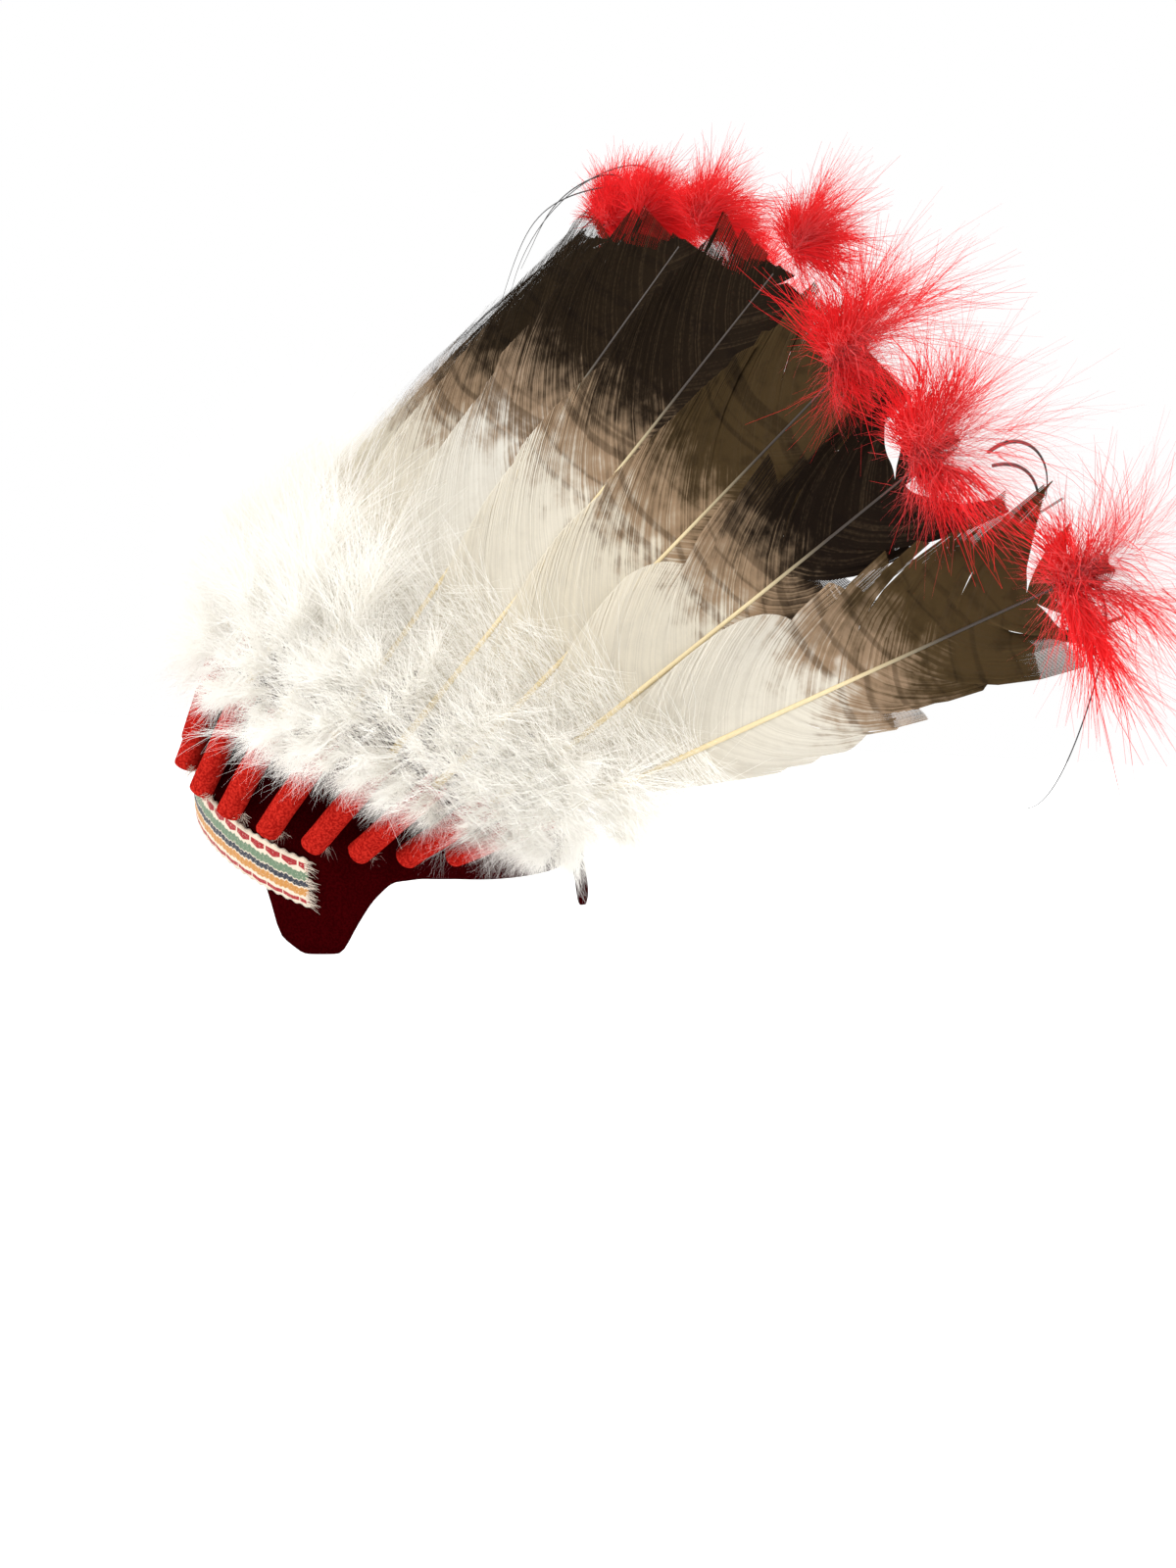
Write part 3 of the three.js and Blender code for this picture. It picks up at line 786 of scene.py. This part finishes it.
QUILL_SHARES = [-1, 0, 0.3, 0.7, 0.99]
QUILL_RADII = [2.3, 2.2, 1.55, 0.9, 0.35]


def make_quill(order, name):
    """The quill, a little flat, from inside its sheath to a fine end at the tip."""
    turns = np.linspace(0, 2 * math.pi, 10, endpoint=False)
    shares = np.concatenate([[QUILL_START / SHEATH_LENGTH - 1], np.linspace(0, 0.99, 40)])
    points = RUNS[order].point(shares)
    _, across, out = run_frame(order, shares)
    radius = np.interp(shares, QUILL_SHARES, QUILL_RADII) * MM
    rows = (points[:, None] + across[:, None] * np.cos(turns)[:, None] * radius[:, None, None]
            + out[:, None] * (np.sin(turns)[:, None] * 0.85) * radius[:, None, None])
    mesh = grid_mesh(name, rows)
    reached = np.interp(shares, RUNS[order].steps, RUNS[order].reached / RUNS[order].length)
    put_attribute(mesh, "share", "FLOAT", np.repeat(reached, len(turns)))
    piece = new_object(name, mesh)
    piece.data.materials.append(QUILL)
    return piece


BARB_SPACING = 0.7 * MM
VANE_FOOT = 0.1
RAGGED_FROM = 7
# How a vane splits: its groups of barbs, how far a group's ends draw together (from, to, power),
# how much is cut off its end, and how much of its width is worn away.
WHOLE_VANE = {"groups": 9, "gather": (0.0, 0.6, 1.8), "trim": 0.02, "lack": (0, 0.06)}
RAGGED_VANE = {"groups": 15, "gather": (0.5, 1.3, 1.0), "trim": 0.09, "lack": (0.12, 0.34)}
# How black (0) or olive brown (1) each feather's tip is, from the middle to the ear.
TONES = [0.15, 0.1, 0.2, 0.25, 0.15, 0.1, 0.85, 0.05, 1.0]


def add_vane(strands, order, side):
    """One side of a feather: barbs that sweep from the quill to the vane's edge."""
    random = np.random.default_rng(1000 + 2 * order + (side > 0))
    run = RUNS[order]
    style = RAGGED_VANE if abs(order) >= RAGGED_FROM else WHOLE_VANE
    full = UNDER_WIDTH if side > 0 else OVER_WIDTH
    roots = np.arange(VANE_FOOT, 0.995, BARB_SPACING / run.length)
    sweep = mix(1.2, 1.65, roots)
    reach = np.full_like(roots, 0.1)
    for _ in range(8):
        width = full * vane_swell(np.minimum(run.at_length(roots + reach), 0.94))
        reach = np.minimum(width * sweep / run.length, 1.0 - roots)
    width = np.minimum(width, reach * run.length / sweep)
    groups = np.sort(random.uniform(0.3, 0.97, style["groups"]))
    group = np.searchsorted(groups, roots)
    edges = np.concatenate([[VANE_FOOT], groups, [1.0]])
    pitch = edges[group + 1] - edges[group]
    inside = (roots - edges[group]) / pitch
    least, most, power = style["gather"]
    gather = random.uniform(least, most, len(edges)) ** power
    gather = gather[group] * np.clip((roots - 0.3) * 4, 0, 1)
    trim = random.uniform(0, 1, len(edges))[group] * style["trim"]
    ends = np.minimum(roots + reach, 1.0 - trim) - (inside - 0.5) * pitch * gather
    lack = random.uniform(*style["lack"], len(edges))
    width = width * (1 - lack[group] * np.clip((roots - 0.3) * 5, 0, 1))
    width = width - (inside - 0.5) * gather * pitch * run.length * 0.5
    width = np.maximum(width, 1 * MM)
    lift = (random.uniform(-1, 1, len(edges))[group] + random.normal(0, 0.15, len(roots))) * MM
    at_root = run.at_length(roots)
    at_end = run.at_length(ends)
    along0, across0, out0 = run_frame(order, at_root)
    _, across1, out1 = run_frame(order, at_end)
    tilt = -math.sin(UNDER_DIP) if side > 0 else math.sin(OVER_RISE)
    camber = (tilt * width + lift * width / full)[:, None]
    start = run.point(at_root)
    finish = run.point(at_end) + across1 * side * width[:, None] + out1 * camber
    span = np.linalg.norm(finish - start, axis=1, keepdims=True)
    heading = unit(along0 * 0.62 + across0 * side * 0.78 + out0 * 0.12) * span
    blade = unit(along0 - across0 * side * 0.35) * BARB_SPACING * 0.72 + out0 * BARB_SPACING * 0.12
    strands.add(root=start, heading=heading, bend=finish - start - heading, across=blade,
                tint=random.uniform(0, 1, len(roots)), share=roots, share_gain=ends - roots,
                tone=TONES[abs(order)], hue=np.random.default_rng(40 + order).uniform())


FOOT_FIBRES = 700


def add_foot_fluff(strands, order):
    """The soft barbs at the foot of a feather, on both sides of its quill."""
    random = np.random.default_rng(3000 + order)
    run = RUNS[order]
    count = FOOT_FIBRES
    roots = run.at_length(random.uniform(-0.03, 0.36, count))
    along, across, out = run_frame(order, roots)
    side = np.where(random.uniform(size=count) < 0.5, -1.0, 1.0)[:, None]
    size = random.uniform(14, 34, (count, 1)) * MM
    lead = unit(along * random.uniform(0.0, 0.8, (count, 1)) + across * side
                + out * random.uniform(0.0, 0.7, (count, 1)))
    fall = unit(along * random.uniform(-0.2, 1.0, (count, 1)) + across * side * 0.3
                + out * random.uniform(-0.2, 0.9, (count, 1))) * size * 0.6
    wave = unit(random.normal(size=(count, 3))) * 2.4 * MM
    strands.add(root=run.point(roots), heading=lead * size, bend=fall, across=along * 0.16 * MM,
                sway=wave, phase=random.uniform(0, 6.3, count), tint=random.uniform(0, 0.7, count))


# ---------------------------------------------------------------- down and plumes

def add_tuft(strands, random, root, lead, side, length, count, spread, droop, width, sway, shade=1.0):
    """A soft tuft: fibres that leave a short stem and open out round its direction."""
    stem = random.uniform(0, 0.6, (count, 1))
    start = root + lead * length * stem + random.normal(size=(count, 3)) * 1.0 * MM
    scatter = unit(random.normal(size=(count, 3)))
    aim = unit(lead + scatter * spread * random.uniform(0.3, 1.0, (count, 1)))
    size = length * random.uniform(0.4, 1.0, (count, 1)) * (1 - 0.55 * stem)
    strands.add(
        root=start, heading=aim * size,
        bend=droop * size * random.uniform(0.3, 1.0, (count, 1)) + scatter * size * 0.2,
        across=unit(np.cross(aim, side)) * width * random.uniform(0.5, 1.0, (count, 1)),
        sway=unit(random.normal(size=(count, 3))) * sway * random.uniform(0.3, 1.0, (count, 1)),
        phase=random.uniform(0, 6.3, count), tint=shade * random.uniform(0, 1, count) ** 2)


# How the down's locks lie, from its lower to its upper edge: root, sweep and stand.
DOWN_ROWS = [(0.1, -0.24, 0.3), (0.3, -0.04, 0.9), (0.55, 0.12, 1.0), (0.8, 0.24, 0.5)]
# Each stretch of down: its first and last feather, its low and high share, swell and stand in mm.
DOWN_PLACES = {
    "down_right_back": (-8.7, -5.1, -0.05, 0.34, 12, 13),
    "down_right": (-4.9, -1.8, -0.05, 0.4, 14, 15),
    "down_front": (-1.6, 1.6, -0.02, 0.42, 18, 16),
    "down_left": (1.8, 4.9, -0.05, 0.4, 14, 15),
    "down_left_back": (5.1, 8.7, -0.05, 0.34, 12, 13),
}


TUFTS_PER_FEATHER = 21
TUFT_FIBRES = 195
WISPS_PER_FEATHER = 12
WISP_LENGTH = 34 * MM
WISP_FIBRES = 22
HANGING_BELOW = 0.25


def down_floor(share):
    return DOWN_FLOOR + 14 * MM * max(0.0, share) ** 1.2


def add_down(strands, stretch, seed):
    """Soft tufts over one stretch of the fan; the lowest hang over the sheaths' tops."""
    start, end, low, high, swell, stand = stretch
    random = np.random.default_rng(seed)
    roots, sweeps, heights = np.array(DOWN_ROWS).T
    for _ in range(round((end - start) * TUFTS_PER_FEATHER)):
        place = random.uniform(0.02, 0.9)
        order = random.uniform(start, end)
        share = mix(low, high, place)
        reach = random.uniform(0.7, 1.0) if place < HANGING_BELOW else random.uniform(0.75, 1.25)
        target = share + np.interp(place, roots, sweeps) * reach
        out = fan_frame(order, share)[2]
        base = fan_point(order, share) + out * (down_floor(share) - 2 * MM)
        rise = np.interp(place, roots, heights) * stand * MM
        top = down_floor(target) + (swell * 0.6 * MM + rise) * reach
        tip = fan_point(order + random.uniform(-0.3, 0.3), target) + fan_frame(order, target)[2] * top
        span = tip - base
        length = float(np.linalg.norm(span))
        side = fan_frame(order, share)[1]
        droop = np.array([0, 0, -0.15]) if place < HANGING_BELOW else np.zeros(3)
        add_tuft(strands, random, base, span / length, side, length * 1.05, TUFT_FIBRES, 0.9, droop,
                 0.165 * MM, 2.6 * MM, 0.8)
    add_long_wisps(strands, random, start, end, low, high)


def add_long_wisps(strands, random, start, end, low, high):
    """Loose silky fibres that lie over the down, some of them over the sheaths below."""
    for _ in range(round((end - start) * WISPS_PER_FEATHER)):
        order = random.uniform(start, end)
        share = mix(low, high, random.uniform(0.0, 0.8))
        along, across, out = fan_frame(order, share)
        root = fan_point(order, share) + out * (down_floor(share) + 4 * MM)
        lead = unit(along * random.uniform(-0.7, 1.2) + across * random.uniform(-0.9, 0.9) + out * 0.6)
        add_tuft(strands, random, root, lead, across, WISP_LENGTH, WISP_FIBRES, 0.25, np.array([0, 0, -0.3]),
                 0.15 * MM, 2.8 * MM, 0.4)


# The plumes' locks: across, along, outward and length in mm. Wide plumes stand where the tips are
# far apart, and on the last feather of each side.
NARROW_LOCKS = [
    (0, 0.95, 0.1, 27), (0.1, 0.85, -0.5, 28), (-0.1, 0.75, 0.5, 20), (0.1, 0.4, -0.9, 26),
    (-0.2, 0.65, -0.7, 25),
]
WIDE_LOCKS = [
    (0.1, 1, 0.25, 44), (0.5, 0.85, 0.2, 46), (0.85, 0.5, 0.25, 38), (-0.35, 0.9, 0.4, 38),
    (0.95, 0.05, 0.35, 26), (0.45, 0.55, 0.75, 27), (-0.6, 0.5, 0.65, 24),
]


LOCK_FIBRES = 74
CORE_FIBRES = 60


def is_wide(order):
    after = RUNS[min(order + 1, PER_SIDE)].tip
    before = RUNS[max(order - 1, -PER_SIDE)].tip
    return abs(order) == PER_SIDE or np.linalg.norm(after - before) > WIDE_SPACING


def make_plume(order, name):
    """The dyed fluff at a feather's tip: a dense core with long locks that open out of it."""
    random = np.random.default_rng(5000 + order)
    wide = is_wide(order)
    share = WIDE_PLUME_SHARE if wide else 1.0
    along, across, out = run_frame(order, share)
    clearance = PLUME_CORE_RADIUS + PLUME_GAP
    core = RUNS[order].point(share) + (out * (clearance + 0.9 * MM) if wide else along * clearance)
    strands = Strands()
    for x, y, z, length in (WIDE_LOCKS if wide else NARROW_LOCKS):
        span = (across * x + along * y + out * z) * length * MM
        size = float(np.linalg.norm(span))
        for _ in range(4):
            lead = unit(span / size + random.normal(size=3) * 0.22)
            fall = random.normal(size=3) * 0.25 + np.array([0, 0, -0.12])
            part = size * random.uniform(0.65, 1.15)
            add_tuft(strands, random, core, lead, across, part, LOCK_FIBRES, 0.7, fall, 0.21 * MM, 2.6 * MM)
    for _ in range(8):
        lead = unit(random.normal(size=3) * 0.6 + along)
        add_tuft(strands, random, core, lead, across, 16 * MM, CORE_FIBRES, 0.9, np.zeros(3),
                 0.2 * MM, 1.0 * MM)
    strands.keep_inside(np.array(cad_box[0]) - MARGIN, np.array(cad_box[1]) + MARGIN)
    return strands.make(name, RED)


# ---------------------------------------------------------------- threads and hairs

# Long black hairs and curled black barbs, as points in mm: thickness, then the route.
HAIRS = [
    (0.7, (30, 108, 292), (25, 109, 305), (25, 87, 301), (25, 69, 287), (25, 55, 250)),
    (0.7, (30, 106, 290), (25, 104, 309), (25, 88, 304), (25, 76, 292), (25, 66, 272)),
    (0.6, (18, 108, 290), (15, 98, 294), (15, 80, 274), (15, 55, 232), (15, 39, 207)),
    (0.6, (40, 100, 290), (32, 118, 311), (30, 96, 308), (28, 72, 286), (28, 62, 262)),
    (0.8, (240, 244, 205), (238, 252, 190), (235, 254, 170), (235, 251, 145), (235, 242, 129)),
    (1.6, (104, 150, 206), (100, 162, 206), (100, 172, 198), (100, 181, 184), (100, 188, 166)),
    (1.4, (104, 152, 202), (100, 163, 197), (100, 172, 200), (100, 179, 190), (100, 177, 176)),
    (1.3, (106, 150, 200), (102, 158, 190), (100, 168, 186), (100, 176, 174), (100, 186, 170)),
    (1.4, (165, 232, 226), (165, 240, 230), (165, 247, 228), (165, 252, 222), (165, 254, 212)),
    (1.3, (166, 234, 222), (165, 243, 222), (165, 250, 216), (165, 252, 206), (165, 248, 200)),
]


def make_hairs():
    """Each hair is a round thread through its points, drawn out to a fine end."""
    for number, (thickness, *route) in enumerate(HAIRS):
        points = np.array(route, float) * MM
        steps = np.linspace(0, 1, 36)
        knots = np.linspace(0, 1, len(points))
        fit = np.stack([np.polynomial.Polynomial.fit(knots, points[:, k], 4)(steps) for k in range(3)], -1)
        tangent = unit(np.gradient(fit, axis=0))
        across = unit(np.cross(tangent, np.array([0.9, 0.1, 0.2])))
        over = np.cross(tangent, across)
        turns = np.linspace(0, 2 * math.pi, 6, endpoint=False)
        radius = thickness / 2 * MM * np.clip(1.2 - steps, 0.15, 1)
        rows = (fit[:, None] + across[:, None] * np.cos(turns)[:, None] * radius[:, None, None]
                + over[:, None] * np.sin(turns)[:, None] * radius[:, None, None])
        piece = new_object(f"black_hair_{number:02d}", grid_mesh(f"black_hair_{number:02d}", rows))
        piece.data.materials.append(HAIR)
        finish_piece(piece, "feather")


def add_knot(strands, order):
    """The knotted thread beside a sheath's foot, where it is sewn to the felt."""
    random = np.random.default_rng(7000 + order)
    run = RUNS[order]
    angle = FEATHER_ANGLES[abs(order)] * (int(np.sign(order)) or 1)
    out = cap_outward(angle)
    side = int(np.sign(order)) or 1
    around = np.array([-out[1], out[0], 0.0]) * side
    spot = run.foot - run.direction * 0.5 * MM + around * 5.5 * MM - out * 3.0 * MM
    for _ in range(3):
        lead = unit(random.normal(size=3) * 0.7 + out - np.array([0, 0, 0.5]) + around * 0.5)
        add_tuft(strands, random, spot, lead, around, 5.5 * MM, 16, 0.5, np.array([0, 0, -0.5]),
                 0.16 * MM, 0.7 * MM, 0.6)


def add_fringe(strands):
    """Frayed weft at both ends of the brow braid."""
    random = np.random.default_rng(8000)
    for side in (-1, 1):
        degrees = side * BAND_END_ANGLE
        out = cap_outward(degrees)
        around = unit(cap_point(degrees + side, 0.0) - cap_point(degrees, 0.0))
        count = 90
        height = band_top(degrees) - random.uniform(0.5, 25.5, count) * MM
        root = cap_point(np.full(count, degrees - side * 0.8), height, BAND_STANDOFF + BAND_THICKNESS)
        size = random.uniform(3, 8, (count, 1)) * MM
        aim = unit(around + random.normal(size=(count, 3)) * 0.22 + out * 0.1)
        strands.add(root=root, heading=aim * size, bend=np.array([0, 0, -0.25]) * size,
                    across=np.array([0, 0, 0.2]) * MM, sway=out * 0.5 * MM,
                    phase=random.uniform(0, 6.3, count), tint=random.uniform(0, 0.7, count))


# ---------------------------------------------------------------- assembly

def make_headdress():
    make_cap()
    make_band()
    make_tie()
    for order in ORDERS:
        number = f"{order + PER_SIDE + 1:02d}"
        finish_piece(make_sheath(order, f"felt_sheath_{number}"), "felt_red", f"sheath_{number}")
        strands = Strands()
        for side in (-1, 1):
            add_vane(strands, order, side)
        vane = strands.make(f"vane_{number}", VANE, segments=5, taper=0.35, waves=0.0)
        finish_piece(vane, "feather", f"feather_{number}")
        finish_piece(make_quill(order, f"quill_{number}"), "feather")
        finish_piece(make_plume(order, f"red_plume_{number}"), "plume_red", f"plume_{number}")
    fluff = Strands()
    for order in ORDERS:
        add_foot_fluff(fluff, order)
    finish_piece(fluff.make("foot_fluff", DOWN), "down_white")
    threads = Strands()
    for order in ORDERS:
        add_knot(threads, order)
    add_fringe(threads)
    finish_piece(threads.make("loose_threads", THREAD), "woven_braid")
    make_hairs()
    for seed, (name, place) in enumerate(DOWN_PLACES.items()):
        down = Strands()
        add_down(down, place, 700 + seed)
        finish_piece(down.make(f"{name}_fibres", DOWN), "down_white", name)


FLOOR_HEIGHT = -320 * MM
FLOOR_HALF_SIZE = 0.9
LIGHTS_AIM = np.array([0.05, 0.06, 0.12])
# name, place, size and power
LIGHTS = [
    ("key", (0.9, -1.0, 1.5), 0.6, 26.0),
    ("fill", (1.5, 0.9, 0.5), 1.2, 7.0),
    ("rim", (-0.9, 0.6, 1.4), 1.0, 10.0),
]


def make_stage():
    half = FLOOR_HALF_SIZE
    corners = [(x, y, FLOOR_HEIGHT) for x, y in [(-half, -half), (half, -half), (half, half), (-half, half)]]
    mesh = bpy.data.meshes.new("floor")
    mesh.from_pydata(corners, [], [(0, 1, 2, 3)])
    floor = new_object("floor", mesh)
    floor.data.materials.append(Finish("pale_floor", FLOOR_WHITE, 0.9, specular=0.0).material)

    world = bpy.data.worlds.new("studio")
    world.use_nodes = True
    backdrop = world.node_tree.nodes["Background"]
    backdrop.inputs["Color"].default_value = (1.0, 1.0, 1.0, 1)
    backdrop.inputs["Strength"].default_value = 1.0
    bpy.context.scene.world = world
    for name, place, size, power in LIGHTS:
        light = bpy.data.lights.new(name, "AREA")
        light.size = size
        light.energy = power
        lamp = new_object(name, light)
        lamp.location = place
        lamp.rotation_euler = Vector(LIGHTS_AIM - np.array(place)).to_track_quat("-Z", "Y").to_euler()
    bpy.context.scene.view_settings.view_transform = "Standard"


CAMERA_PLACE = (574.4 * MM, 104.7 * MM, 284.5 * MM)
CAMERA_PITCH = 0.42678
CAMERA_ROLL = 0.0479134
CAMERA_LENS = 27.45


def make_camera():
    """The view from the wearer's left and a little above, looking down at the fan."""
    pitch, roll = CAMERA_PITCH, CAMERA_ROLL
    forward = np.array([-math.cos(pitch), 0, -math.sin(pitch)])
    level = np.array([0.0, 1.0, 0.0])
    rise = np.array([-math.sin(pitch), 0, math.cos(pitch)])
    right = math.cos(roll) * level + math.sin(roll) * rise
    up = math.cos(roll) * rise - math.sin(roll) * level
    data = bpy.data.cameras.new("camera")
    data.lens = CAMERA_LENS
    data.sensor_width = 36
    data.clip_start = 0.01
    camera = new_object("camera", data)
    camera.matrix_world = Matrix((
        (right[0], up[0], -forward[0], CAMERA_PLACE[0]),
        (right[1], up[1], -forward[1], CAMERA_PLACE[1]),
        (right[2], up[2], -forward[2], CAMERA_PLACE[2]),
        (0, 0, 0, 1)))
    bpy.context.scene.camera = camera


make_camera()
make_stage()
make_headdress()
